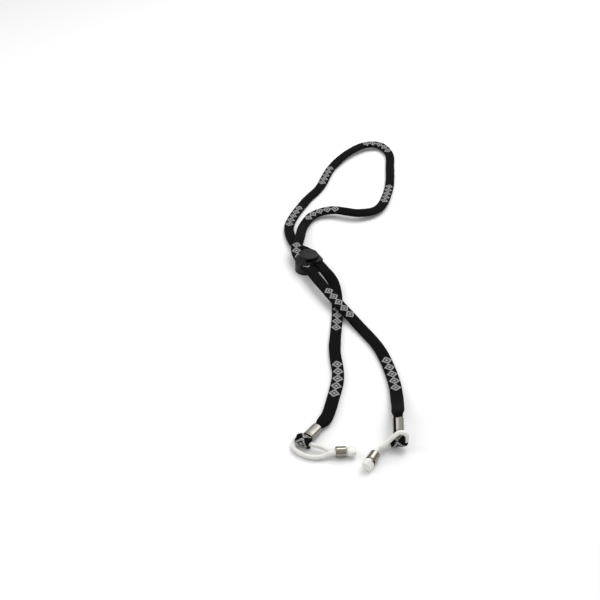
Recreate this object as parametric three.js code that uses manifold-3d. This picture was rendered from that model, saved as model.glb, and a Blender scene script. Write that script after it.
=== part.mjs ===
// Eyeglass retainer strap: a flat tubular woven cord, a spring cord lock and a silicone loop on each end.
// Millimetres, +Z up. The origin is the centre of the lock's flat base, on the surface the strap lies on.
// +Y runs from the silicone loops to the neck loop, and +X is to the right seen from the loops' end.
import * as THREE from 'three';
import { mergeVertices } from 'three/addons/utils/BufferGeometryUtils.js';
import Module from 'manifold-3d';

const wasm = await Module();
wasm.setup();

// ---------- driving dimensions ----------
const gap = 0.3;                       // clearance where two pieces touch

const cordWidth = 6.5;                 // flattened woven tube
const cordThickness = 2.8;
const restHeight = cordThickness / 2 + 0.05;   // centreline of a cord that lies flat

const lockTurn = THREE.MathUtils.degToRad(26); // heading of the lock on the table
const lockWidth = 18;
const lockDepth = 12.4;
const lockHeight = 8.3;
const lockFloor = 0.8;
const pressTravel = 1.5;
const cordSpacing = cordWidth + 1.8;   // centre to centre of the two cords in the lock
const cordHeight = 5.9;                // centreline of the cords in the lock
const webHalf = cordSpacing / 2 - cordWidth / 2 - gap;  // half of the web between the cords
const footThickness = 0.8;
const footTop = cordHeight - cordThickness / 2 - gap;   // the foot that pinches the cords, at rest
const footWidth = 10;
const footDepth = 6;
const neckBottom = cordHeight + cordThickness / 2 + gap + pressTravel;
const capRadius = 5.5;
const capBottom = lockHeight + pressTravel + 0.2;
const capThickness = 1.7;
const collarHeight = 0.6;

const straightFront = 6.5;             // straight cord on each side of the lock, where the lock can slide
const straightBack = 2;

const eyeRadius = 2.7;                 // the folded fabric eye on each end of the cord
const tunnelRadius = 1.45;
const crimpLength = 8.6;
const crimpWidth = 5.3;
const crimpHeight = 4;
const crimpWall = 0.45;
const crimpSlot = 1.3;                 // the seam that stays open after crimping
const shoulderLength = 2;              // folded cord showing behind the crimp
const crimpStart = eyeRadius + 0.6;    // from the tunnel's axis to the crimp's near edge

const strandRadius = 1.1;              // moulded silicone loop
const strandOffset = 0.85;             // of each strand from the middle of the neck
const ferruleRadius = 2.55;
const ferruleWall = 0.3;
const ferruleLength = 4.9;
const ferruleTravel = 2.5;             // how far the ferrule slides up the neck
const neckLength = ferruleLength / 2 + ferruleTravel + gap;
const tailStart = ferruleLength / 2 + gap;
const tailLength = 4.6;

// Each eye's place, its heading away from the lock, how far the strap leans over and how far it points down.
const leftEye = { at: [-3.8, -146.1, 3.5], heading: [-0.57, -0.82], lean: 0, dip: -5 };
const rightEye = { at: [41.4, -147, 4.2], heading: [-0.03, -1], lean: 25, dip: 25 };

// ---------- materials ----------
function finish(color, roughness, metalness) {
  return new THREE.MeshStandardMaterial({ color, roughness, metalness });
}

const wovenBlack = finish(0x17171a, 0.9, 0);
const mouldedBlack = finish(0x242424, 0.5, 0);
const springSteel = finish(0xb9bbbd, 0.3, 1);
const satinNickel = finish(0xa8a79c, 0.35, 1);
const brightNickel = finish(0xc4c2b8, 0.18, 1);
const milkySilicone = finish(0xf1efe8, 0.35, 0);

// ---------- joins and cuts ----------
function toSolid(geometry) {
  const bare = geometry.index ? geometry.toNonIndexed() : geometry.clone();
  bare.deleteAttribute('normal');
  bare.deleteAttribute('uv');
  const merged = mergeVertices(bare, 1e-4);
  return new wasm.Manifold(new wasm.Mesh({
    numProp: 3,
    vertProperties: new Float32Array(merged.attributes.position.array),
    triVerts: new Uint32Array(merged.index.array),
  }));
}

function toGeometry(solid) {
  const mesh = solid.getMesh();
  const geometry = new THREE.BufferGeometry();
  geometry.setAttribute('position', new THREE.BufferAttribute(new Float32Array(mesh.vertProperties), 3));
  geometry.setIndex(new THREE.BufferAttribute(new Uint32Array(mesh.triVerts), 1));
  geometry.computeVertexNormals();
  return geometry;
}

function join(geometries) {
  return toGeometry(geometries.map(toSolid).reduce((whole, piece) => whole.add(piece)));
}

function cut(geometry, cutters) {
  const left = cutters.map(toSolid).reduce((whole, cutter) => whole.subtract(cutter), toSolid(geometry));
  return toGeometry(left);
}

function common(first, second) {
  return toGeometry(toSolid(first).intersect(toSolid(second)));
}

function node(name, geometry, material, matrix = new THREE.Matrix4()) {
  const mesh = new THREE.Mesh(geometry, material);
  mesh.name = name;
  mesh.applyMatrix4(matrix);
  return mesh;
}

// ---------- small shape helpers ----------
function boxBetween(low, high) {
  const size = high.map((value, axis) => value - low[axis]);
  const geometry = new THREE.BoxGeometry(...size);
  return geometry.translate(...low.map((value, axis) => value + size[axis] / 2));
}

function roundedRectangle(width, height, radius) {
  const x = width / 2;
  const y = height / 2;
  const shape = new THREE.Shape();
  shape.moveTo(x, -y + radius);
  shape.lineTo(x, y - radius);
  shape.absarc(x - radius, y - radius, radius, 0, Math.PI / 2);
  shape.lineTo(-x + radius, y);
  shape.absarc(-x + radius, y - radius, radius, Math.PI / 2, Math.PI);
  shape.lineTo(-x, -y + radius);
  shape.absarc(-x + radius, -y + radius, radius, Math.PI, Math.PI * 1.5);
  shape.lineTo(x - radius, -y);
  shape.absarc(x - radius, -y + radius, radius, Math.PI * 1.5, Math.PI * 2);
  return shape;
}

function extrudeUp(shape, low, high, curveSegments = 8) {
  const depth = high - low;
  const geometry = new THREE.ExtrudeGeometry(shape, { depth, bevelEnabled: false, curveSegments });
  return geometry.translate(0, 0, low);
}

// The shape's x runs along Y and its y along Z.
function alongX(shape, low, high, curveSegments = 8) {
  const geometry = extrudeUp(shape, low, high, curveSegments);
  return geometry.applyMatrix4(new THREE.Matrix4().makeBasis(
    new THREE.Vector3(0, 1, 0), new THREE.Vector3(0, 0, 1), new THREE.Vector3(1, 0, 0)));
}

// The shape's x runs along X and its y along Z.
function alongY(shape, low, high, curveSegments = 8) {
  const geometry = extrudeUp(shape, -high, -low, curveSegments);
  return geometry.rotateX(Math.PI / 2);
}

// ---------- the cord's route ----------
// x, y and z of the centreline and the lean of its flat section in degrees, from the left eye to the right.
const lockAxis = [-Math.sin(lockTurn), Math.cos(lockTurn)];
const lockSide = [Math.cos(lockTurn), Math.sin(lockTurn)];

function throughLock(side, along) {
  const x = side * cordSpacing / 2 * lockSide[0] + along * lockAxis[0];
  const y = side * cordSpacing / 2 * lockSide[1] + along * lockAxis[1];
  return [x, y, cordHeight, 0];
}

// Where the plain cord ends, just short of its crimp: the folded end carries on from there.
function cordEnd(eye) {
  const end = new THREE.Vector3(-(crimpStart + crimpLength + shoulderLength), 0, 0);
  return end.applyMatrix4(endMatrix(eye)).toArray();
}

const front = -lockDepth / 2;
const back = lockDepth / 2;

const leftLeg = [
  [...cordEnd(leftEye), 0],
  [7.4, -129.5, 2, 0],
  [11.4, -115, 1.5, 0],
  [14.4, -99, restHeight, 0],
  [13.4, -79, restHeight, 0],
  [16.3, -41, restHeight, 0],
  [14.8, -20, 3.6, -35],
];
const neckLoop = [
  [-2.5, 13.6, 4.7, 0],
  [-8.1, 21, 2.9, 0],
  [-13, 46, 1.6, 0],
  [-2, 79, restHeight, 0],
  [8.6, 99, restHeight, 0],
  [18.5, 129, 1.9, 0],
  [33, 151, 3.6, 0],
  [47, 162.6, 3.9, 6],
  [57.5, 162.8, 3.3, 16],
  [63.8, 152, 2.1, 5],
  [63, 131, 1.5, 0],
  [58.5, 95, 1.6, 0],
  [48, 66, 3.2, -8],
  [35, 58.6, 4.8, -15],
  [16, 62.6, 4.6, -12],
  [4, 59, 3.1, -5],
  [-2.8, 46.5, 2.9, 0],
  [-6.2, 21.5, 7.1, 0],
  [-8.1, 11, 6.8, 0],
];
const rightLeg = [
  [8, -26, 5.9, 0],
  [17, -42, 4.8, 0],
  [27, -57, 2, 0],
  [38, -78, restHeight, 0],
  [43.3, -103, 1.7, 0],
  [43.3, -121, 4.2, 12],
  [...cordEnd(rightEye), rightEye.lean],
];
const routePoints = [
  ...leftLeg,
  throughLock(1, front - straightFront),
  throughLock(1, front),
  throughLock(1, back),
  throughLock(1, back + straightBack),
  ...neckLoop,
  throughLock(-1, back),
  throughLock(-1, front),
  throughLock(-1, front - straightFront),
  ...rightLeg,
];

// A route whose section stays level across its width, apart from the lean given at each point.
class FlatRoute extends THREE.CatmullRomCurve3 {
  constructor(points) {
    super(points.map(([x, y, z]) => new THREE.Vector3(x, y, z)), false, 'centripetal');
    this.leans = points.map((point) => THREE.MathUtils.degToRad(point[3]));
  }

  // The steps are even between one route point and the next, so that the points themselves are on the sweep.
  getSpacedPoints(steps) {
    return this.getPoints(steps);
  }

  leanAt(t) {
    const place = t * (this.leans.length - 1);
    const before = Math.min(Math.floor(place), this.leans.length - 2);
    return THREE.MathUtils.lerp(this.leans[before], this.leans[before + 1], place - before);
  }

  computeFrenetFrames(steps) {
    const frames = { tangents: [], normals: [], binormals: [] };
    const up = new THREE.Vector3(0, 0, 1);
    for (let step = 0; step <= steps; step += 1) {
      const tangent = this.getTangent(step / steps);
      const side = up.clone().cross(tangent).normalize();
      side.applyAxisAngle(tangent, this.leanAt(step / steps));
      frames.tangents.push(tangent);
      frames.normals.push(side);
      frames.binormals.push(tangent.clone().cross(side));
    }
    return frames;
  }
}

// ---------- ends of the cord ----------
// Each end's own frame is at the centre of the eye's tunnel: x away from the lock, y across, z up.
function endMatrix(eye) {
  const turn = Math.atan2(eye.heading[1], eye.heading[0]);
  const lean = THREE.MathUtils.degToRad(eye.lean);
  const dip = THREE.MathUtils.degToRad(eye.dip);
  const matrix = new THREE.Matrix4().makeRotationFromEuler(new THREE.Euler(lean, dip, turn, 'ZYX'));
  return matrix.setPosition(...eye.at);
}

function fabricEye(eye) {
  const ring = new THREE.Shape().absarc(0, 0, eyeRadius, 0, Math.PI * 2);
  ring.holes.push(new THREE.Path().absarc(0, 0, tunnelRadius, 0, Math.PI * 2));
  const fold = alongY(ring, -cordWidth / 2, cordWidth / 2, 10);
  const innerWidth = crimpWidth - 2 * crimpWall - 2 * gap;
  const innerHeight = crimpHeight - 2 * crimpWall - 2 * gap;
  const mouth = -(crimpStart + crimpLength + gap);
  const inCrimp = alongX(roundedRectangle(innerWidth, innerHeight, 1), mouth - 1.2, -eyeRadius + 0.6, 4);
  const shoulder = alongX(
    roundedRectangle(cordWidth - 0.4, innerHeight, 1), mouth - shoulderLength - 1, mouth, 4);
  const whole = join([fold, inCrimp, shoulder]);
  return whole.applyMatrix4(endMatrix(eye));
}

function crimp(name, eye, seamSide) {
  const outline = roundedRectangle(crimpWidth, crimpHeight, 1.6);
  outline.holes.push(roundedRectangle(crimpWidth - 2 * crimpWall, crimpHeight - 2 * crimpWall, 1.2));
  const start = -(crimpStart + crimpLength);
  const sleeve = alongX(outline, start, -crimpStart, 5);
  const seam = boxBetween(
    [start - 1, -crimpSlot / 2, Math.min(0, seamSide * crimpHeight)],
    [1 - crimpStart, crimpSlot / 2, Math.max(0, seamSide * crimpHeight)]);
  return node(name, cut(sleeve, [seam]), satinNickel, endMatrix(eye));
}

// ---------- the strap ----------
function cordSection() {
  const sides = 12;
  const corners = Array.from({ length: sides }, (_, side) => {
    const angle = (side + 0.5) * 2 * Math.PI / sides;
    const flat = (value) => Math.sign(value) * Math.abs(value) ** 0.7;
    const x = flat(Math.cos(angle)) * cordWidth / 2;
    const y = flat(Math.sin(angle)) * cordThickness / 2;
    return new THREE.Vector2(x, y);
  });
  return new THREE.Shape(corners);
}

function strap() {
  const stepsPerSpan = 2;
  const route = new FlatRoute(routePoints);
  const sweep = new THREE.ExtrudeGeometry(cordSection(), {
    steps: stepsPerSpan * (routePoints.length - 1),
    extrudePath: route,
  });
  return node('strap', join([sweep, fabricEye(leftEye), fabricEye(rightEye)]), wovenBlack);
}

// ---------- the cord lock, made in its own frame with the cords along Y ----------
function lockBody() {
  const half = lockWidth / 2;
  const shoulder = half - 4.2;
  const flank = lockHeight - 4.4;
  const plan = roundedRectangle(lockWidth, lockDepth, lockDepth / 2 - 0.01);
  const side = new THREE.Shape();
  side.moveTo(-half, 0);
  side.lineTo(half, 0);
  side.lineTo(half, flank);
  side.quadraticCurveTo(half, lockHeight, shoulder, lockHeight);
  side.lineTo(-shoulder, lockHeight);
  side.quadraticCurveTo(-half, lockHeight, -half, flank);
  const block = common(extrudeUp(plan, 0, lockHeight, 12), alongY(side, -lockDepth, lockDepth, 8));

  const collarInner = capRadius + gap;
  const collar = new THREE.LatheGeometry([
    new THREE.Vector2(collarInner, lockHeight - 0.5),
    new THREE.Vector2(lockDepth / 2, lockHeight - 0.5),
    new THREE.Vector2(lockDepth / 2, lockHeight + collarHeight),
    new THREE.Vector2(collarInner, lockHeight + collarHeight),
    new THREE.Vector2(collarInner, lockHeight - 0.5),
  ], 40).rotateX(Math.PI / 2);

  const passageWidth = cordWidth + 2 * gap;
  const passageHeight = cordThickness + 2 * gap;
  const passageOutline = roundedRectangle(passageWidth, passageHeight, 1.3);
  const passages = [-cordSpacing / 2, cordSpacing / 2].map(
    (x) => alongY(passageOutline, -lockDepth, lockDepth, 4).translate(x, 0, cordHeight));
  const pocket = extrudeUp(
    roundedRectangle(footWidth + 2 * gap, footDepth + 2 * gap, 1.3), lockFloor, lockHeight + 3, 4);
  return cut(join([block, collar]), [...passages, pocket]);
}

function lockButton() {
  const capTop = capBottom + capThickness;
  const edge = 0.7;
  const cap = new THREE.LatheGeometry([
    new THREE.Vector2(0, capBottom),
    new THREE.Vector2(capRadius - 0.2, capBottom),
    new THREE.Vector2(capRadius, capBottom + 0.2),
    new THREE.Vector2(capRadius, capTop - edge - 0.2),
    new THREE.Vector2(capRadius - edge * 0.3, capTop - edge * 0.45),
    new THREE.Vector2(capRadius - edge, capTop - 0.2),
    new THREE.Vector2(capRadius / 2, capTop - 0.05),
    new THREE.Vector2(0, capTop),
  ], 40).rotateX(Math.PI / 2);
  const section = roundedRectangle(footWidth, footDepth, 1);
  const foot = extrudeUp(section, footTop - footThickness, footTop, 3);
  const neck = extrudeUp(section, neckBottom, capBottom + 0.3, 3);
  const web = boxBetween(
    [-webHalf, 0.4 - footDepth / 2, footTop - 0.4], [webHalf, footDepth / 2 - 0.4, neckBottom + 0.4]);
  return join([cap, neck, web, foot]);
}

class Helix extends THREE.Curve {
  constructor(radius, low, high, turns) {
    super();
    Object.assign(this, { radius, low, high, turns });
  }

  getPoint(t, target = new THREE.Vector3()) {
    const angle = t * this.turns * 2 * Math.PI;
    const z = THREE.MathUtils.lerp(this.low, this.high, t);
    return target.set(this.radius * Math.cos(angle), this.radius * Math.sin(angle), z);
  }
}

function lockSpring() {
  const wireRadius = 0.2;
  const turns = 2.5;
  const low = lockFloor + 0.1 + wireRadius;
  const high = footTop - footThickness - 0.1 - wireRadius;
  const wire = new THREE.Shape().absarc(0, 0, wireRadius, 0, Math.PI * 2);
  return new THREE.ExtrudeGeometry(wire, {
    steps: 16 * turns,
    curveSegments: 3,
    extrudePath: new Helix(2.1, low, high, turns),
  });
}

// ---------- silicone loops and their ferrules ----------
// A loop's two strands run side by side from its tail through the ferrule, part and meet in the eye's tunnel.
// toTunnel runs from the neck to one end of the tunnel, and fromTunnel from its other end back to the neck.
const leftLoop = {
  ferrule: [13.6, -151.9, 2.6],
  heading: [1, 0.05, 0],
  apart: [0, 1, 0],
  toTunnel: [[5, -149.4, 2.7], [1.7, -148.7, 3.3]],
  fromTunnel: [[-8, -144.1, 3.1], [-9.2, -145.9, 2.3], [-8.9, -148.7, 1.7],
    [-5.8, -151.7, 1.5], [-1, -154, 1.25], [4.2, -154.2, 1.5]],
};
const rightLoop = {
  ferrule: [28.5, -155.5, 2.75],
  heading: [-0.52, -0.854, 0],
  apart: [0, 0, 1],
  toTunnel: [[33.5, -150.2, 4.5], [36.2, -148.6, 6], [38.8, -147.2, 8],
    [41.6, -146.3, 9.7], [43.8, -146.2, 9.8], [46, -146.8, 8]],
  fromTunnel: [[36.6, -147.1, 2.2], [34.5, -148.2, 1.8], [32.7, -149.5, 1.7]],
};

function along(origin, direction, distance, sideways = [0, 0, 0], offset = 0) {
  return origin.map((value, axis) => value + direction[axis] * distance + sideways[axis] * offset);
}

// One strand each, both of them running through the middle of the tunnel so that they join there.
function strandRoutes(loop, eye) {
  const across = new THREE.Vector3().setFromMatrixColumn(endMatrix(eye), 1).toArray();
  const tunnel = (places) => places.map((place) => along(eye.at, across, place));
  const strand = (side) => [tailStart + 1, 0, -neckLength].map(
    (place) => along(loop.ferrule, loop.heading, place, loop.apart, side * strandOffset));
  const routes = [
    [...strand(1), ...loop.toTunnel, ...tunnel([3.4, 1.2, -1.2])],
    [...tunnel([1.2, -1.2, -3.4]), ...loop.fromTunnel, ...strand(-1).reverse()],
  ];
  return routes.map((points) => new THREE.CatmullRomCurve3(
    points.map((place) => new THREE.Vector3(...place)), false, 'centripetal'));
}

// z along the neck towards the tail, with its origin at the ferrule's middle.
function neckMatrix(loop) {
  const neck = new THREE.Vector3(...loop.heading).normalize();
  const apart = new THREE.Vector3(...loop.apart);
  const across = neck.clone().cross(apart).normalize();
  const basis = new THREE.Matrix4().makeBasis(across.clone().cross(neck), across, neck);
  return basis.setPosition(...loop.ferrule);
}

function siliconeLoop(loop, eye) {
  const strand = new THREE.Shape().absarc(0, 0, strandRadius, 0, Math.PI * 2);
  const sweeps = strandRoutes(loop, eye).map(
    (extrudePath) => new THREE.ExtrudeGeometry(strand, { steps: 40, curveSegments: 5, extrudePath }));
  const tail = new THREE.CylinderGeometry(1, 0.8, tailLength, 16).rotateX(Math.PI / 2);
  tail.scale(2.6, 1.6, 1).translate(0, 0, tailStart + tailLength / 2);
  return join([...sweeps, tail.applyMatrix4(neckMatrix(loop))]);
}

function ferrule(name, loop) {
  const inner = ferruleRadius - ferruleWall;
  const half = ferruleLength / 2;
  const tube = new THREE.LatheGeometry([
    new THREE.Vector2(inner, -half),
    new THREE.Vector2(ferruleRadius, -half),
    new THREE.Vector2(ferruleRadius, half),
    new THREE.Vector2(inner, half),
    new THREE.Vector2(inner, -half),
  ], 28).rotateX(Math.PI / 2);
  return node(name, tube, brightNickel, neckMatrix(loop));
}

// ---------- the assembly ----------
function cordLock() {
  const lock = new THREE.Group();
  lock.rotation.z = lockTurn;
  lock.add(
    node('lock_body', lockBody(), mouldedBlack),
    node('lock_button', lockButton(), mouldedBlack),
    node('lock_spring', lockSpring(), springSteel));
  return lock;
}

const retainer = new THREE.Group();
retainer.add(
  strap(),
  crimp('crimp_left', leftEye, -1),
  crimp('crimp_right', rightEye, 1),
  cordLock(),
  node('silicone_loop_left', siliconeLoop(leftLoop, leftEye), milkySilicone),
  node('silicone_loop_right', siliconeLoop(rightLoop, rightEye), milkySilicone),
  ferrule('ferrule_left', leftLoop),
  ferrule('ferrule_right', rightLoop));

export default retainer;
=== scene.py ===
import math

import bmesh
import bpy
from mathutils import Matrix, Vector, noise


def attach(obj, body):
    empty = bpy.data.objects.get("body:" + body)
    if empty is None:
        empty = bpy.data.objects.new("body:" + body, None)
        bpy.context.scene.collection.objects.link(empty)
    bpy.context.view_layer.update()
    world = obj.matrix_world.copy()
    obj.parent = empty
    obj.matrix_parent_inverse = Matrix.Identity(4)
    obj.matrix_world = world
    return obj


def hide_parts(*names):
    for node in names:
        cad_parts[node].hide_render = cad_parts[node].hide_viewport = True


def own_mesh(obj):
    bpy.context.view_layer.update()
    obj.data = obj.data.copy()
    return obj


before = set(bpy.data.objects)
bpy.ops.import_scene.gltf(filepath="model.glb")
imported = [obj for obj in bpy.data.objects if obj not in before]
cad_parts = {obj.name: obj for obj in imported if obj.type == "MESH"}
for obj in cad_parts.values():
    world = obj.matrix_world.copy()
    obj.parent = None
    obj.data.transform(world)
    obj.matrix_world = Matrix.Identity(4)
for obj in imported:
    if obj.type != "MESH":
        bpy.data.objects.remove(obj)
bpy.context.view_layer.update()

# ---------- dimensions, in metres, as in the CAD model ----------
CORD_WIDTH = 0.0065
CORD_THICKNESS = 0.0028
REST_HEIGHT = CORD_THICKNESS / 2 + 0.00005

LOCK_TURN = math.radians(26)
LOCK_DEPTH = 0.0124
CORD_SPACING = CORD_WIDTH + 0.0018
CORD_HEIGHT = 0.0059
STRAIGHT_FRONT = 0.0065
STRAIGHT_BACK = 0.002
FRONT = -LOCK_DEPTH / 2
BACK = LOCK_DEPTH / 2

EYE_RADIUS = 0.0027
TUNNEL_RADIUS = 0.00145
CRIMP_LENGTH = 0.0086
CRIMP_WIDTH = 0.0053
CRIMP_HEIGHT = 0.004
CRIMP_WALL = 0.00045
CRIMP_SLOT = 0.0013
CRIMP_ARCH = 0.0006        # how far the crimp's upper edge rises in its middle
CRIMP_ROUND = 0.62         # how square the crimp's section is, from 0 for a box to 1 for an oval
SHOULDER_LENGTH = 0.002
CRIMP_START = EYE_RADIUS + 0.0006

STRAND_RADIUS = 0.00112
STRAND_OFFSET = 0.00087
FERRULE_RADIUS = 0.00255
FERRULE_WALL = 0.0003
FERRULE_LENGTH = 0.0049
NECK_LENGTH = FERRULE_LENGTH / 2 + 0.0025 + 0.0003
TAIL_START = FERRULE_LENGTH / 2 + 0.0003
TAIL_LENGTH = 0.0046
TAIL_THICKNESS = 0.0032

LEFT_EYE = {"at": (-0.0038, -0.1461, 0.0035), "heading": (-0.57, -0.82), "lean": 0, "dip": -5}
RIGHT_EYE = {"at": (0.0414, -0.147, 0.0042), "heading": (-0.03, -1), "lean": 25, "dip": 25}


# ---------- camera ----------
def add_camera():
    data = bpy.data.cameras.new("camera")
    data.sensor_width = 36
    data.lens = 46.08
    data.clip_start = 0.01
    camera = bpy.data.objects.new("camera", data)
    camera.location = (-0.00567, -0.39363, 0.28234)
    camera.rotation_euler = (math.radians(90 - 38), 0, 0)
    bpy.context.scene.collection.objects.link(camera)
    bpy.context.scene.camera = camera


add_camera()


# ---------- the cord's route: x, y, z and the lean of its flat section in degrees ----------
def through_lock(side, along):
    x = side * CORD_SPACING / 2 * math.cos(LOCK_TURN) - along * math.sin(LOCK_TURN)
    y = side * CORD_SPACING / 2 * math.sin(LOCK_TURN) + along * math.cos(LOCK_TURN)
    return (x, y, CORD_HEIGHT, 0)


def end_matrix(eye):
    """The frame of one end, at the centre of the eye's tunnel: x away from the lock, y across, z up."""
    turn = math.atan2(eye["heading"][1], eye["heading"][0])
    return (
        Matrix.Translation(eye["at"])
        @ Matrix.Rotation(turn, 4, "Z")
        @ Matrix.Rotation(math.radians(eye["dip"]), 4, "Y")
        @ Matrix.Rotation(math.radians(eye["lean"]), 4, "X")
    )


def cord_end(eye):
    end = end_matrix(eye) @ Vector((-(CRIMP_START + CRIMP_LENGTH + SHOULDER_LENGTH), 0, 0))
    return (*end, eye["lean"])


LEFT_LEG = [
    cord_end(LEFT_EYE),
    (0.0074, -0.1295, 0.002, 0),
    (0.0114, -0.115, 0.0015, 0),
    (0.0144, -0.099, REST_HEIGHT, 0),
    (0.0134, -0.079, REST_HEIGHT, 0),
    (0.0163, -0.041, REST_HEIGHT, 0),
    (0.0148, -0.02, 0.0036, -35),
]
NECK_LOOP = [
    (-0.0025, 0.0136, 0.0047, 0),
    (-0.0081, 0.021, 0.0029, 0),
    (-0.013, 0.046, 0.0016, 0),
    (-0.002, 0.079, REST_HEIGHT, 0),
    (0.0086, 0.099, REST_HEIGHT, 0),
    (0.0185, 0.129, 0.0019, 0),
    (0.033, 0.151, 0.0036, 0),
    (0.047, 0.1626, 0.0039, 6),
    (0.0575, 0.1628, 0.0033, 16),
    (0.0638, 0.152, 0.0021, 5),
    (0.063, 0.131, 0.0015, 0),
    (0.0585, 0.095, 0.0016, 0),
    (0.048, 0.066, 0.0032, -8),
    (0.035, 0.0586, 0.0048, -15),
    (0.016, 0.0626, 0.0046, -12),
    (0.004, 0.059, 0.0031, -5),
    (-0.0028, 0.0465, 0.0029, 0),
    (-0.0062, 0.0215, 0.0071, 0),
    (-0.0081, 0.011, 0.0068, 0),
]
RIGHT_LEG = [
    (0.008, -0.026, 0.0059, 0),
    (0.017, -0.042, 0.0048, 0),
    (0.027, -0.057, 0.002, 0),
    (0.038, -0.078, REST_HEIGHT, 0),
    (0.0433, -0.103, 0.0017, 0),
    (0.0433, -0.121, 0.0042, 12),
    cord_end(RIGHT_EYE),
]
ROUTE = [
    *LEFT_LEG,
    through_lock(1, FRONT - STRAIGHT_FRONT),
    through_lock(1, FRONT),
    through_lock(1, BACK),
    through_lock(1, BACK + STRAIGHT_BACK),
    *NECK_LOOP,
    through_lock(-1, BACK),
    through_lock(-1, FRONT),
    through_lock(-1, FRONT - STRAIGHT_FRONT),
    *RIGHT_LEG,
]


# ---------- curves ----------
def span(before, start, end, after, t):
    """A point of the centripetal Catmull-Rom curve between start and end."""
    a = (start - before).length ** 0.5
    b = (end - start).length ** 0.5
    c = (after - end).length ** 0.5
    leave = ((start - before) / a - (end - before) / (a + b) + (end - start) / b) * b
    arrive = ((end - start) / b - (after - start) / (b + c) + (after - end) / c) * b
    square = -3 * start + 3 * end - 2 * leave - arrive
    cube = 2 * start - 2 * end + leave + arrive
    return start + leave * t + square * t * t + cube * t * t * t


def smooth_route(points, per_span=48):
    """Points on a smooth curve through the given ones, any number of values each."""
    points = [Vector(p) for p in points]
    ends = [2 * points[0] - points[1], *points, 2 * points[-1] - points[-2]]
    route = []
    for i in range(1, len(ends) - 2):
        places = [Vector(p[:3]) for p in ends[i - 1 : i + 3]]
        for step in range(per_span):
            t = step / per_span
            place = span(*places, t)
            extra = [a + (b - a) * (3 - 2 * t) * t * t for a, b in zip(ends[i][3:], ends[i + 1][3:])]
            route.append((place, *extra))
    last = points[-1]
    route.append((Vector(last[:3]), *last[3:]))
    return route


def even_steps(route, step):
    """The same route with its points a fixed distance apart."""
    lengths = [0.0]
    for before, after in zip(route, route[1:]):
        lengths.append(lengths[-1] + (after[0] - before[0]).length)
    count = max(2, round(lengths[-1] / step))
    even = []
    at = 0
    for i in range(count + 1):
        want = lengths[-1] * i / count
        while at < len(route) - 2 and lengths[at + 1] < want:
            at += 1
        share = (want - lengths[at]) / max(lengths[at + 1] - lengths[at], 1e-12)
        values = [a + (b - a) * share for a, b in zip(route[at], route[at + 1])]
        even.append(tuple(values))
    return even


# ---------- meshes ----------
WEAVE_UNIT = 0.2           # metres of fabric in one unit of the weave's UV map


def new_object(name, mesh):
    thing = bpy.data.objects.new(name, mesh)
    bpy.context.scene.collection.objects.link(thing)
    return thing


def sweep(name, rings, lengths=None, arounds=None, centre_of=None):
    """A closed skin over rings of points, with a flat cap on each end.
    lengths and arounds give the fabric's own coordinates, and centre_of the motif centre nearest a length."""
    mesh = bpy.data.meshes.new(name)
    sides = len(rings[0])
    points = [p for ring in rings for p in ring]
    faces = []
    for r in range(len(rings) - 1):
        for k in range(sides):
            near = (k + 1) % sides
            faces.append((r * sides + k, r * sides + near, (r + 1) * sides + near, (r + 1) * sides + k))
    faces.append(tuple(reversed(range(sides))))
    faces.append(tuple((len(rings) - 1) * sides + k for k in range(sides)))
    mesh.from_pydata([tuple(p) for p in points], [], faces)
    if lengths is not None:
        uv = mesh.uv_layers.new(name="weave")
        for polygon in mesh.polygons[: (len(rings) - 1) * sides]:
            r, k = divmod(polygon.index, sides)
            centre = centre_of((lengths[r] + lengths[r + 1]) / 2)
            corners = ((r, k), (r, k + 1), (r + 1, k + 1), (r + 1, k))
            for loop, (row, column) in zip(polygon.loop_indices, corners):
                uv.data[loop].uv = (
                    0.5 + (lengths[row] - centre) / WEAVE_UNIT,
                    0.5 + arounds[column] / WEAVE_UNIT,
                )
    mesh.validate()
    mesh.update()
    thing = new_object(name, mesh)
    outwards(thing)
    for polygon in mesh.polygons:
        polygon.use_smooth = True
    return thing


def outwards(thing):
    """Turns every face of a closed mesh to point out."""
    work = bmesh.new()
    work.from_mesh(thing.data)
    bmesh.ops.recalc_face_normals(work, faces=work.faces)
    work.to_mesh(thing.data)
    work.free()


def apply_modifiers(thing):
    """Gives the object the mesh that its modifiers make, and takes them off."""
    graph = bpy.context.evaluated_depsgraph_get()
    mesh = bpy.data.meshes.new_from_object(thing.evaluated_get(graph))
    thing.modifiers.clear()
    thing.data = mesh
    for polygon in mesh.polygons:
        polygon.use_smooth = True
    return thing


def melt(thing, voxel, rounds):
    """Joins everything in a mesh into one moulded skin with softened edges."""
    remesh = thing.modifiers.new("remesh", "REMESH")
    remesh.mode = "VOXEL"
    remesh.voxel_size = voxel
    remesh.adaptivity = 0
    soften = thing.modifiers.new("soften", "SMOOTH")
    soften.factor = 0.5
    soften.iterations = rounds
    return apply_modifiers(thing)


def join_objects(name, things):
    work = bmesh.new()
    for thing in things:
        work.from_mesh(thing.data)
        bpy.data.objects.remove(thing)
    mesh = bpy.data.meshes.new(name)
    work.to_mesh(mesh)
    work.free()
    return new_object(name, mesh)


def flat_section(width, thickness, sides, squareness=0.62):
    """A flattened round outline, from the middle of its top face round to it again."""
    outline = []
    for k in range(sides):
        angle = math.pi / 2 - 2 * math.pi * k / sides
        x = math.copysign(abs(math.cos(angle)) ** squareness, math.cos(angle)) * width / 2
        z = math.copysign(abs(math.sin(angle)) ** squareness, math.sin(angle)) * thickness / 2
        outline.append((x, z))
    return outline


def outline_lengths(outline):
    """How far round the outline each corner is from the middle of the top, negative on the way back to it."""
    lengths = [0.0]
    for (ax, az), (bx, bz) in zip(outline, outline[1:] + outline[:1]):
        lengths.append(lengths[-1] + math.hypot(bx - ax, bz - az))
    girth = lengths[-1]
    return [length if length <= girth / 2 else length - girth for length in lengths]


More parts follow.
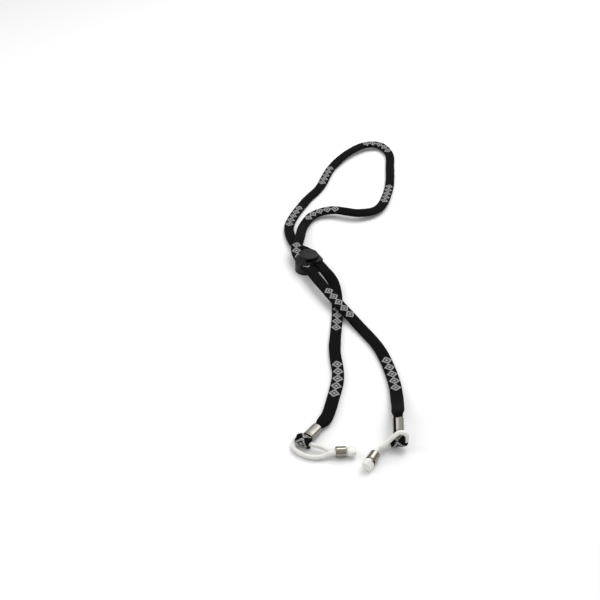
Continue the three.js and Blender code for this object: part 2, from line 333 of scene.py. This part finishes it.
# ---------- the strap, a flat woven cord ----------
# How far along the strap the middle of each woven motif is, from the left eye's crimp.
MOTIF_CENTRES = (0.034, 0.087, 0.203, 0.265, 0.335, 0.413, 0.480, 0.543, 0.594, 0.658)


CORD_SIDES = 32
CORD_STEP = 0.0006
CORD_IN_CRIMP = 0.0035     # the cord's end that each crimp hides
NARROW_FROM = 0.0095       # how far from its end the cord begins to narrow
NARROW_RUN = 0.006
EDGE_WANDER = 0.0003       # how unevenly wide the cord is


def nearest_motif(length):
    return min(MOTIF_CENTRES, key=lambda centre: abs(centre - length))


def strap_ring(centre, tangent, lean, width, thickness, outline):
    side = Vector((0, 0, 1)).cross(tangent).normalized()
    side.rotate(Matrix.Rotation(lean, 3, tangent))
    up = tangent.cross(side)
    return [centre + side * (-x * width) + up * (z * thickness) for x, z in outline]


def ease(t):
    t = min(1.0, max(0.0, t))
    return t * t * (3 - 2 * t)


def add_strap():
    """The whole cord from inside one crimp to inside the other, narrowing where it enters them."""
    lead = SHOULDER_LENGTH + CORD_IN_CRIMP
    tip = Vector((-(CRIMP_START + CRIMP_LENGTH - CORD_IN_CRIMP), 0, 0))
    first = (end_matrix(LEFT_EYE) @ tip, LEFT_EYE["lean"])
    last = (end_matrix(RIGHT_EYE) @ tip, RIGHT_EYE["lean"])
    route = even_steps([first, *smooth_route(ROUTE), last], CORD_STEP)
    outline = flat_section(1, 1, CORD_SIDES)
    total = len(route) - 1
    step = sum((b[0] - a[0]).length for a, b in zip(route, route[1:])) / total
    rings = []
    lengths = []
    for i, (centre, lean) in enumerate(route):
        before = route[max(0, i - 2)][0]
        after = route[min(total, i + 2)][0]
        tangent = (after - before).normalized()
        from_end = min(i, total - i) * step
        narrow = ease((NARROW_FROM - from_end) / NARROW_RUN)
        width = CORD_WIDTH - 0.0022 * narrow
        thickness = CORD_THICKNESS - 0.0004 * narrow
        edge = noise.noise(centre * 130) * EDGE_WANDER
        rings.append(strap_ring(centre, tangent, math.radians(lean), width + edge, thickness, outline))
        lengths.append(i * step - lead)
    arounds = outline_lengths(flat_section(CORD_WIDTH, CORD_THICKNESS, CORD_SIDES))
    strap = sweep("woven_strap", rings, lengths, arounds, nearest_motif)
    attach(strap, "cord")
    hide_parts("strap")
    return strap


FOLD_SIDES = 28
FOLD_SQUARENESS = 0.5
FOLD_STEP = 0.0004
FOLD_MOTIF_HALF = 0.0056


def fold_motif(length):
    """The middle of the fold's motif, or a place too far off to see where the crimp covers the fold."""
    return 0.0 if abs(length) < FOLD_MOTIF_HALF else length - 0.02


def add_eye(name, eye):
    """The strap's end folded round the tunnel for the silicone and back into the crimp."""
    middle = (EYE_RADIUS + TUNNEL_RADIUS) / 2
    thickness = (EYE_RADIUS - TUNNEL_RADIUS) * 0.98
    inner = 0.00072
    steps = 24
    layer = []
    for i in range(steps):
        x = -0.0085 + 0.0071 * i / steps
        layer.append((x, inner + (middle * 0.8 - inner) * ease((x + 0.0038) / 0.0026)))
    turn = []
    for i in range(41):
        angle = math.radians(125 - 250 * i / 40)
        turn.append((middle * math.cos(angle), middle * math.sin(angle)))
    line = [*layer, *turn, *((x, -z) for x, z in reversed(layer))]
    line = even_steps([(Vector((x, 0, z)),) for x, z in line], FOLD_STEP)
    outline = flat_section(1, 1, FOLD_SIDES, FOLD_SQUARENESS)
    rings = []
    lengths = []
    matrix = end_matrix(eye)
    side = Vector((0, 1, 0))
    total = len(line) - 1
    for i, (place,) in enumerate(line):
        tangent = (line[min(total, i + 1)][0] - line[max(0, i - 1)][0]).normalized()
        out = tangent.cross(side)
        open_up = ease((place.x + 0.0037) / 0.0028)
        full = 1 + 0.05 * math.sin(i * 0.9) * open_up
        width = (CRIMP_WIDTH - 2 * CRIMP_WALL - 0.0002 + 0.0033 * open_up) * full
        ring = [place + side * (x * width) + out * (z * thickness) for x, z in outline]
        rings.append([matrix @ point for point in ring])
        lengths.append((i - total / 2) * FOLD_STEP)
    arounds = outline_lengths(flat_section(CORD_WIDTH, 0.0013, FOLD_SIDES, FOLD_SQUARENESS))
    fold = sweep(name, rings, lengths, arounds, fold_motif)
    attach(fold, "cord")
    return fold


# ---------- the crimps ----------
def crimp_corner(share, seam_side, seam_turn):
    """A point of the crimp's middle line, from one side of its seam round to the other."""
    width = CRIMP_WIDTH - CRIMP_WALL
    height = CRIMP_HEIGHT - CRIMP_WALL
    opening = math.asin(min(1.0, CRIMP_SLOT / width))
    angle = seam_turn + opening + (2 * math.pi - 2 * opening) * share
    x = math.sin(angle)
    z = math.cos(angle)
    y = math.copysign(abs(x) ** CRIMP_ROUND, x) * width / 2
    return Vector((0, y, seam_side * math.copysign(abs(z) ** CRIMP_ROUND, z) * height / 2))


def add_crimp(name, node, eye, seam_side, seam_turn):
    """A sheet-metal sleeve bent round the folded end, its edges arched and turned out a little."""
    mesh = bpy.data.meshes.new(name)
    around = 56
    along = 26
    points = []
    matrix = end_matrix(eye)
    for row in range(along + 1):
        t = row / along
        for column in range(around + 1):
            share = column / around
            corner = crimp_corner(share, seam_side, seam_turn)
            plate = 1 - abs(2 * share - 1)
            arch = CRIMP_ARCH * (1 - (abs(corner.y) / (CRIMP_WIDTH / 2)) ** 2) * ease(plate * 2.2)
            start = -(CRIMP_START + CRIMP_LENGTH) + CRIMP_ARCH - arch
            end = -CRIMP_START - 0.0001
            x = start + (end - start) * t
            swell = 1 + 0.035 * ease((t - 0.9) / 0.1) + 0.02 * ease((0.06 - t) / 0.06)
            waist = 1 - 0.05 * math.exp(-(((t - 0.82) / 0.05) ** 2))
            points.append(matrix @ Vector((x, corner.y * swell, corner.z * swell * waist)))
    faces = []
    wide = around + 1
    for row in range(along):
        for column in range(around):
            a = row * wide + column
            faces.append((a, a + 1, a + wide + 1, a + wide))
    mesh.from_pydata([tuple(p) for p in points], [], faces)
    mesh.update()
    plate = new_object(name, mesh)
    outwards(plate)
    solid = plate.modifiers.new("wall", "SOLIDIFY")
    solid.thickness = CRIMP_WALL
    solid.offset = 0
    bevel = plate.modifiers.new("edges", "BEVEL")
    bevel.width = 0.00012
    bevel.segments = 3
    bevel.limit_method = "ANGLE"
    bevel.angle_limit = math.radians(50)
    apply_modifiers(plate)
    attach(plate, "cord")
    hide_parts(node)
    return plate


# ---------- the cord lock ----------
def remould(node, name, body, voxel, rounds):
    """A moulded copy of a CAD part, with its sharp edges rounded off."""
    source = bpy.data.objects[node]
    mesh = source.data.copy()
    mesh.name = name
    mesh.transform(source.matrix_world)
    copy = new_object(name, mesh)
    copy.data.materials.clear()
    melt(copy, voxel, rounds)
    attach(copy, body)
    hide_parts(node)
    return copy


def tube(name, line, radius, sides=14, domed=False):
    """A round tube along a line of points, its section carried along without twisting."""
    total = len(line) - 1
    tangents = [(line[min(total, i + 1)] - line[max(0, i - 1)]).normalized() for i in range(total + 1)]
    side = tangents[0].orthogonal().normalized()
    rings = []
    for i, place in enumerate(line):
        side = (side - tangents[i] * side.dot(tangents[i])).normalized()
        up = tangents[i].cross(side)
        size = radius
        if domed:
            size = radius * math.sqrt(max(0.02, 1 - max(0, 1 - min(i, total - i) / 3) ** 2))
        ring = []
        for k in range(sides):
            angle = 2 * math.pi * k / sides
            ring.append(place + side * (size * math.cos(angle)) + up * (size * math.sin(angle)))
        rings.append(ring)
    return sweep(name, rings)


def add_spring():
    """The coil under the button's foot, built once at a fixed length and carried with the lock."""
    radius = 0.0021
    wire = 0.0002
    turns = 2.5
    steps = 120
    low = 0.0011
    high = 0.0031
    turn = Matrix.Rotation(LOCK_TURN, 3, "Z")
    line = []
    for i in range(steps + 1):
        t = i / steps
        angle = t * turns * 2 * math.pi
        place = Vector((radius * math.cos(angle), radius * math.sin(angle), low + (high - low) * t))
        line.append(turn @ place)
    spring = tube("spring_coil", line, wire, 10, domed=True)
    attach(spring, "lock")
    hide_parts("lock_spring")
    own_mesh(spring)
    return spring


# ---------- silicone loops and their ferrules ----------
LEFT_LOOP = {
    "ferrule": (0.0136, -0.1519, 0.0026),
    "heading": (1, 0.05, 0),
    "apart": (0, 1, 0),
    "to_tunnel": [(0.005, -0.1494, 0.0027), (0.0017, -0.1487, 0.0033)],
    "from_tunnel": [
        (-0.0078, -0.1442, 0.003), (-0.0087, -0.1459, 0.0021), (-0.0086, -0.1487, 0.0015),
        (-0.0058, -0.1517, 0.0015), (-0.001, -0.154, 0.00125), (0.0042, -0.1542, 0.0015)],
}
RIGHT_LOOP = {
    "ferrule": (0.0285, -0.1555, 0.00275),
    "heading": (-0.52, -0.854, 0),
    "apart": (0, 0, 1),
    "to_tunnel": [
        (0.0335, -0.1502, 0.0045), (0.0362, -0.1486, 0.006), (0.0388, -0.1472, 0.008),
        (0.0415, -0.1463, 0.0096), (0.0433, -0.1464, 0.0095), (0.045, -0.1468, 0.0077)],
    "from_tunnel": [(0.0366, -0.1471, 0.0022), (0.0345, -0.1482, 0.0018), (0.0327, -0.1495, 0.0017)],
}


def neck_matrix(loop):
    """z along the neck towards the tail and x from one strand to the other, at the ferrule's middle."""
    neck = Vector(loop["heading"]).normalized()
    across = neck.cross(Vector(loop["apart"])).normalized()
    apart = across.cross(neck)
    matrix = Matrix((apart, across, neck)).transposed().to_4x4()
    return Matrix.Translation(loop["ferrule"]) @ matrix


def strand_points(loop, side):
    heading = Vector(loop["heading"])
    apart = Vector(loop["apart"])
    places = (TAIL_START + 0.001, 0, -NECK_LENGTH)
    return [Vector(loop["ferrule"]) + heading * place + apart * (side * STRAND_OFFSET) for place in places]


def add_tail(loop, width, taper, turn):
    """The flat end that the two strands are moulded into, a rounded paddle that widens from the ferrule."""
    matrix = neck_matrix(loop) @ Matrix.Rotation(turn, 4, "Z")
    rings = []
    steps = 40
    for i in range(steps + 1):
        t = i / steps
        z = TAIL_START + TAIL_LENGTH * t
        grow = 0.84 + 0.16 * ease(t * 2.2) - taper * ease((t - 0.55) / 0.45)
        lip = math.sqrt(max(0.0, 1 - max(0.0, (t - 0.86) / 0.14) ** 2)) if t > 0.86 else 1.0
        butt = math.sqrt(max(0.0, 1 - max(0.0, (0.08 - t) / 0.08) ** 2)) if t < 0.08 else 1.0
        trim = 0.3 + 0.7 * min(lip, butt)
        outline = flat_section(width * grow * (0.72 + 0.28 * trim), TAIL_THICKNESS * trim, 36, 0.72)
        rings.append([matrix @ Vector((x, y, z)) for x, y in outline])
    return sweep("tail", rings)


def add_loop(name, node, body, loop, eye, width, taper, turn):
    across = end_matrix(eye).to_3x3() @ Vector((0, 1, 0))
    tunnel = [Vector(eye["at"]) + across * place for place in (0.0034, 0.0012, -0.0012, -0.0034)]
    points = [
        *strand_points(loop, 1), *loop["to_tunnel"], *tunnel, *loop["from_tunnel"],
        *reversed(strand_points(loop, -1))]
    line = [place for place, in even_steps(smooth_route([tuple(p) for p in points]), 0.0003)]
    strand = tube("strand", line, STRAND_RADIUS, 24)
    whole = join_objects(name, [strand, add_tail(loop, width, taper, turn)])
    melt(whole, 0.00014, 6)
    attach(whole, body)
    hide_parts(node)
    return whole


def add_ferrule(name, node, body, loop):
    """A short drawn tube with rounded ends."""
    half = FERRULE_LENGTH / 2
    inner = FERRULE_RADIUS - FERRULE_WALL
    lip = FERRULE_RADIUS - 0.00004
    middle = (inner + lip) / 2
    roll = (lip - inner) / 2
    profile = [(inner, -half + 0.0001)]
    for i in range(7):
        angle = math.pi * i / 6
        profile.append((middle - roll * math.cos(angle), -half + roll * (1 - math.sin(angle))))
    edge = -half + (FERRULE_RADIUS - inner) / 2
    for share in (0.02, 0.06, 0.5, 0.94, 0.98):
        profile.append((FERRULE_RADIUS, edge - 2 * edge * share))
    for radius, z in reversed(profile[1:8]):
        profile.append((radius, -z))
    profile.append((inner, half - 0.0001))
    mesh = bpy.data.meshes.new(name)
    sides = 72
    matrix = neck_matrix(loop)
    points = []
    for radius, z in profile:
        for k in range(sides):
            angle = 2 * math.pi * k / sides
            points.append(tuple(matrix @ Vector((radius * math.cos(angle), radius * math.sin(angle), z))))
    faces = []
    rows = len(profile)
    for r in range(rows):
        next_row = (r + 1) % rows
        for k in range(sides):
            near = (k + 1) % sides
            faces.append((r * sides + k, r * sides + near, next_row * sides + near, next_row * sides + k))
    mesh.from_pydata(points, [], faces)
    mesh.update()
    ring = new_object(name, mesh)
    outwards(ring)
    for polygon in mesh.polygons:
        polygon.use_smooth = True
    mesh.set_sharp_from_angle(angle=math.radians(35))
    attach(ring, body)
    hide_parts(node)
    return ring


# ---------- materials ----------
class Nodes:
    """A material's node tree, with short calls for the few kinds of node used here."""

    def __init__(self, name):
        self.material = bpy.data.materials.new(name)
        self.material.use_nodes = True
        self.tree = self.material.node_tree
        self.shader = self.tree.nodes["Principled BSDF"]

    def add(self, kind, **settings):
        node = self.tree.nodes.new(kind)
        for key, value in settings.items():
            setattr(node, key, value)
        return node

    def plug(self, value, socket):
        if isinstance(value, bpy.types.NodeSocket):
            self.tree.links.new(value, socket)
        else:
            socket.default_value = value

    def sum(self, operation, *values):
        node = self.add("ShaderNodeMath", operation=operation)
        for value, socket in zip(values, node.inputs):
            self.plug(value, socket)
        return node.outputs[0]

    def noise(self, coordinates, scale, detail=3):
        node = self.add("ShaderNodeTexNoise")
        self.plug(coordinates, node.inputs["Vector"])
        node.inputs["Scale"].default_value = scale
        node.inputs["Detail"].default_value = detail
        return node.outputs["Fac"]

    def place(self):
        return self.add("ShaderNodeTexCoord").outputs["Object"]

    def mix(self, share, first, second):
        node = self.add("ShaderNodeMix", data_type="RGBA")
        self.plug(share, node.inputs[0])
        self.plug(first, node.inputs[6])
        self.plug(second, node.inputs[7])
        return node.outputs[2]

    def ranged(self, value, low, high):
        node = self.add("ShaderNodeMapRange")
        self.plug(value, node.inputs["Value"])
        node.inputs["To Min"].default_value = low
        node.inputs["To Max"].default_value = high
        return node.outputs["Result"]

    def bump(self, height, strength, distance):
        node = self.add("ShaderNodeBump")
        node.inputs["Strength"].default_value = strength
        node.inputs["Distance"].default_value = distance
        self.plug(height, node.inputs["Height"])
        self.plug(node.outputs["Normal"], self.shader.inputs["Normal"])

    def set(self, **values):
        for key, value in values.items():
            self.plug(value, self.shader.inputs[key.replace("_", " ")])
        return self


THREAD = 0.55              # millimetres from one thread of the weave to the next
DIAMOND_PITCH = 5.5
MOTIF_HALF = 13.6


def woven_fabric():
    """Ribbed black cord with a generic chain of diamonds in grey thread, stepped from thread to thread."""
    n = Nodes("woven_cord")
    uv = n.add("ShaderNodeUVMap", uv_map="weave")
    split = n.add("ShaderNodeSeparateXYZ")
    n.plug(uv.outputs[0], split.inputs[0])
    along = n.sum("MULTIPLY", n.sum("SUBTRACT", split.outputs[0], 0.5), WEAVE_UNIT * 1000)
    across = n.sum("MULTIPLY", n.sum("SUBTRACT", split.outputs[1], 0.5), WEAVE_UNIT * 1000)
    step_along = n.sum("SNAP", n.sum("ADD", along, THREAD / 2), THREAD)
    step_across = n.sum("SNAP", n.sum("ADD", n.sum("ABSOLUTE", across), THREAD / 4), THREAD / 2)
    in_pitch = n.sum("ABSOLUTE", n.sum("WRAP", step_along, DIAMOND_PITCH / 2, -DIAMOND_PITCH / 2))
    diamond = n.sum("ADD", n.sum("DIVIDE", in_pitch, 2.75), n.sum("DIVIDE", step_across, 2.75))
    outline = n.sum("LESS_THAN", n.sum("ABSOLUTE", n.sum("SUBTRACT", diamond, 0.86)), 0.21)
    core = n.sum("LESS_THAN", diamond, 0.34)
    shape = n.sum("MAXIMUM", outline, core)
    inside = n.sum("LESS_THAN", n.sum("ABSOLUTE", along), MOTIF_HALF)
    on_face = n.sum("LESS_THAN", n.sum("ABSOLUTE", across), 2.9)
    motif = n.sum("MULTIPLY", shape, n.sum("MULTIPLY", inside, on_face))

    rows = n.sum("SINE", n.sum("MULTIPLY", along, 2 * math.pi / THREAD))
    slanted = n.sum("ADD", along, n.sum("MULTIPLY", n.sum("ABSOLUTE", across), 0.9))
    plait = n.sum("SINE", n.sum("MULTIPLY", slanted, 2 * math.pi / 1.1))
    columns = n.sum("SINE", n.sum("MULTIPLY", across, 2 * math.pi / 0.62))
    threads = n.sum("MULTIPLY", n.sum("ADD", rows, n.sum("MULTIPLY", plait, 0.7)), 0.3)
    weave = n.sum("ADD", threads, n.sum("MULTIPLY", columns, 0.25))
    fuzz = n.noise(n.place(), 4200, 2)
    height = n.sum("ADD", weave, n.sum("MULTIPLY", fuzz, 0.5))

    worn = n.ranged(n.noise(n.place(), 900, 2), 0.7, 1.3)
    # Painted shade: the black and the grey thread are both coloured darker in the weave's grooves and lighter
    # on its ridges, following the same height as the bump; worn only adds random tone.
    painted_groove_shade_and_wear = n.sum("MULTIPLY", n.ranged(weave, 0.75, 1.35), worn)
    black = n.mix(n.sum("MULTIPLY", painted_groove_shade_and_wear, 0.35), (0.0014, 0.0014, 0.0015, 1), (0.0075, 0.0075, 0.0078, 1))
    grey = n.mix(n.ranged(weave, 0.2, 0.95), (0.22, 0.22, 0.22, 1), (0.56, 0.56, 0.56, 1))
    n.bump(height, 0.75, 0.00022)
    n.set(Base_Color=n.mix(motif, black, grey), Roughness=0.9, Sheen_Weight=0.012)
    n.set(Sheen_Roughness=0.4, Specular_IOR_Level=0.08)
    return n.material


def moulded_plastic():
    n = Nodes("lock_plastic")
    grain = n.noise(n.place(), 2600, 3)
    n.bump(grain, 0.28, 0.00006)
    color = n.mix(n.noise(n.place(), 160, 2), (0.004, 0.004, 0.004, 1), (0.007, 0.007, 0.0071, 1))
    n.set(Base_Color=color, Roughness=n.ranged(grain, 0.42, 0.54), Specular_IOR_Level=0.24)
    return n.material


def metal(name, color, low, high, grain_scale, strength):
    n = Nodes(name)
    grain = n.noise(n.place(), grain_scale, 4)
    n.bump(grain, strength, 0.00004)
    n.set(Base_Color=color, Metallic=1.0, Roughness=n.ranged(grain, low, high))
    return n.material


def milky_silicone():
    n = Nodes("silicone")
    cloud = n.noise(n.place(), 220, 2)
    n.set(Base_Color=n.mix(cloud, (0.7, 0.69, 0.655, 1), (0.76, 0.75, 0.72, 1)), Roughness=0.3)
    n.set(Subsurface_Weight=0.35, Subsurface_Scale=0.0016, Specular_IOR_Level=0.45)
    n.shader.inputs["Subsurface Radius"].default_value = (1.0, 0.9, 0.75)
    n.bump(n.noise(n.place(), 1200, 2), 0.12, 0.00004)
    return n.material


def white_floor():
    n = Nodes("floor")
    n.set(Base_Color=(0.86, 0.86, 0.86, 1), Roughness=0.9, Specular_IOR_Level=0.1)
    return n.material


def paint(thing, material):
    thing.data.materials.clear()
    thing.data.materials.append(material)


# ---------- floor and light ----------
def add_floor():
    mesh = bpy.data.meshes.new("floor")
    reach = 12.0
    level = -0.00015
    corners = [(-reach, -reach, level), (reach, -reach, level), (reach, reach, level), (-reach, reach, level)]
    mesh.from_pydata(corners, [], [(0, 1, 2, 3)])
    floor = new_object("floor", mesh)
    paint(floor, white_floor())


def add_light(name, place, target, size, power):
    data = bpy.data.lights.new(name, "AREA")
    data.shape = "RECTANGLE"
    data.size = size[0]
    data.size_y = size[1]
    data.energy = power
    light = bpy.data.objects.new(name, data)
    light.location = place
    direction = Vector(target) - Vector(place)
    light.rotation_euler = direction.to_track_quat("-Z", "Y").to_euler()
    bpy.context.scene.collection.objects.link(light)


def add_studio_light():
    """A soft key from the right and behind, a weak strip from the left, and a sky that darkens low down."""
    add_light("key", (0.3, 0.34, 0.8), (0, 0, 0), (0.7, 0.7), 5.5)
    add_light("strip", (-0.6, -0.1, 0.5), (0, -0.1, 0), (0.12, 0.6), 1.2)
    world = bpy.data.worlds.new("studio")
    bpy.context.scene.world = world
    world.use_nodes = True
    tree = world.node_tree
    background = tree.nodes["Background"]
    place = tree.nodes.new("ShaderNodeTexCoord")
    split = tree.nodes.new("ShaderNodeSeparateXYZ")
    ramp = tree.nodes.new("ShaderNodeValToRGB")
    ramp.color_ramp.elements[0].position = 0.0
    ramp.color_ramp.elements[0].color = (0.42, 0.42, 0.42, 1)
    ramp.color_ramp.elements[1].position = 0.75
    ramp.color_ramp.elements[1].color = (1, 1, 1, 1)
    tree.links.new(place.outputs["Generated"], split.inputs[0])
    tree.links.new(split.outputs["Z"], ramp.inputs[0])
    tree.links.new(ramp.outputs[0], background.inputs["Color"])
    background.inputs["Strength"].default_value = 0.78


# ---------- everything together ----------
def build():
    fabric = woven_fabric()
    plastic = moulded_plastic()
    satin = metal("crimp_nickel", (0.27, 0.262, 0.235, 1), 0.3, 0.4, 900, 0.12)
    bright = metal("ferrule_nickel", (0.27, 0.25, 0.215, 1), 0.12, 0.2, 500, 0.05)
    steel = metal("spring_steel", (0.55, 0.56, 0.57, 1), 0.22, 0.32, 900, 0.05)
    silicone = milky_silicone()

    paint(add_strap(), fabric)
    paint(add_eye("eye_fold_left", LEFT_EYE), fabric)
    paint(add_eye("eye_fold_right", RIGHT_EYE), fabric)
    paint(add_crimp("crimp_sleeve_left", "crimp_left", LEFT_EYE, -1, 0.0), satin)
    paint(add_crimp("crimp_sleeve_right", "crimp_right", RIGHT_EYE, 1, -0.36), satin)
    body = remould("lock_body", "lock_housing", "lock", 0.00012, 5)
    button = remould("lock_button", "lock_cap", "button", 0.0001, 6)
    for moulding in (body, button):
        paint(moulding, plastic)
    paint(add_spring(), steel)
    left = add_loop(
        "loop_soft_left", "silicone_loop_left", "loop_left", LEFT_LOOP, LEFT_EYE, 0.0052, 0.12, 0.0)
    right = add_loop(
        "loop_soft_right", "silicone_loop_right", "loop_right", RIGHT_LOOP, RIGHT_EYE, 0.0053, 0.03, 0.85)
    paint(left, silicone)
    paint(right, silicone)
    paint(add_ferrule("ferrule_ring_left", "ferrule_left", "ring_left", LEFT_LOOP), bright)
    paint(add_ferrule("ferrule_ring_right", "ferrule_right", "ring_right", RIGHT_LOOP), bright)


bpy.context.scene.view_settings.view_transform = "Standard"
build()
add_floor()
add_studio_light()
